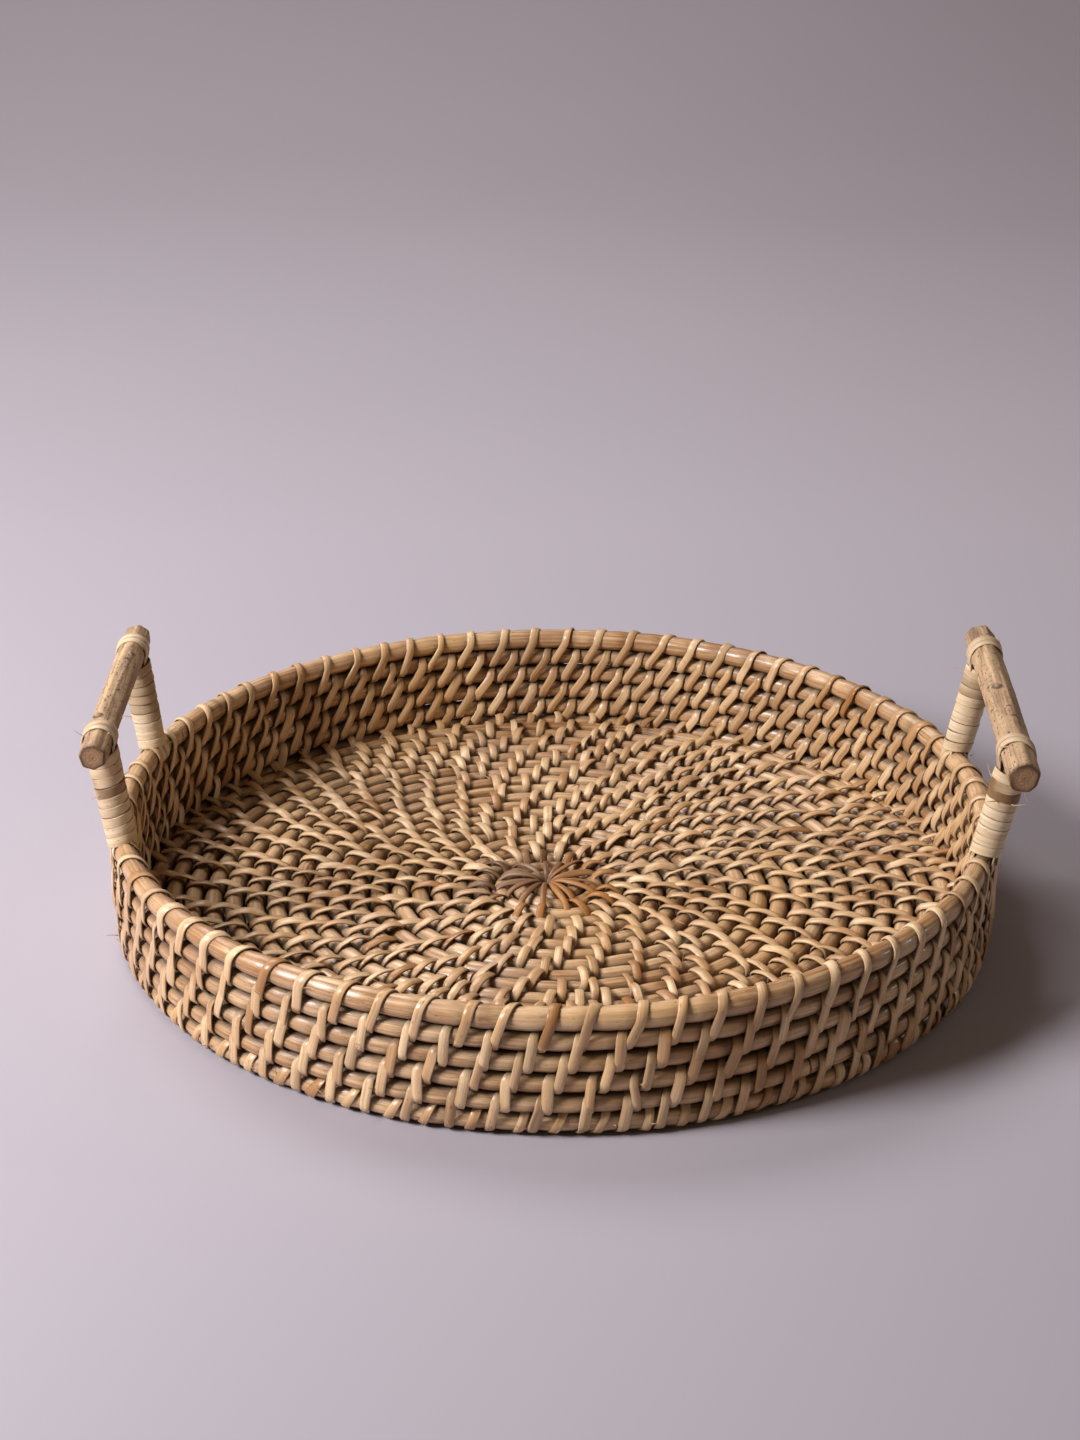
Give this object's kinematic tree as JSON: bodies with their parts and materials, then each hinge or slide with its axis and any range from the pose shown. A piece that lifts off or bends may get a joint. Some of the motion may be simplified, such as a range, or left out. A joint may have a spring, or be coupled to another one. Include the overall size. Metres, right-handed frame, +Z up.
{
  "type": "coiled cane tray",
  "caption": "Round tray with an upright wall, coiled from cane rods and stitched with split cane, with a straight bar handle raised on lashed posts at each side.",
  "frame": {"origin": "centre of the round base, on the surface it rests on", "axes": "+Z up out of the tray, X from the left handle to the right handle, +Y to the back"},
  "size_m": [0.413, 0.4, 0.1129],
  "materials": {
    "rod_cane": "varnished cane rod",
    "stitch_cane": "varnished split cane",
    "binding_cane": "pale split cane",
    "star_cane": "dark stained split cane",
    "bar_wood": "peeled pole, matt"
  },
  "bodies": {
    "root": {"floor_rod_1": "rod_cane", "floor_rod_2": "rod_cane", "floor_rod_3": "rod_cane", "floor_rod_4": "rod_cane", "base_rod": "rod_cane", "wall_rod_1": "rod_cane", "wall_rod_2": "rod_cane", "wall_rod_3": "rod_cane", "wall_rod_4": "rod_cane", "rim_rod": "rod_cane", "floor_stitching_1": "stitch_cane", "floor_stitching_2": "stitch_cane", "floor_stitching_3": "stitch_cane", "floor_stitching_4": "stitch_cane", "base_stitching": "stitch_cane", "wall_stitching_1": "stitch_cane", "wall_stitching_2": "stitch_cane", "wall_stitching_3": "stitch_cane", "wall_stitching_4": "stitch_cane", "rim_stitching_front": "stitch_cane", "rim_stitching_right": "stitch_cane", "rim_stitching_back": "stitch_cane", "rim_stitching_left": "stitch_cane", "centre_star": "star_cane", "left_handle_bar": "bar_wood", "left_front_post_stick": "rod_cane", "left_front_post_strap": "binding_cane", "left_front_post_wrap": "binding_cane", "left_back_post_stick": "rod_cane", "left_back_post_strap": "binding_cane", "left_back_post_wrap": "binding_cane", "right_handle_bar": "bar_wood", "right_front_post_stick": "rod_cane", "right_front_post_strap": "binding_cane", "right_front_post_wrap": "binding_cane", "right_back_post_stick": "rod_cane", "right_back_post_strap": "binding_cane", "right_back_post_wrap": "binding_cane"}
  },
  "joints": []
}
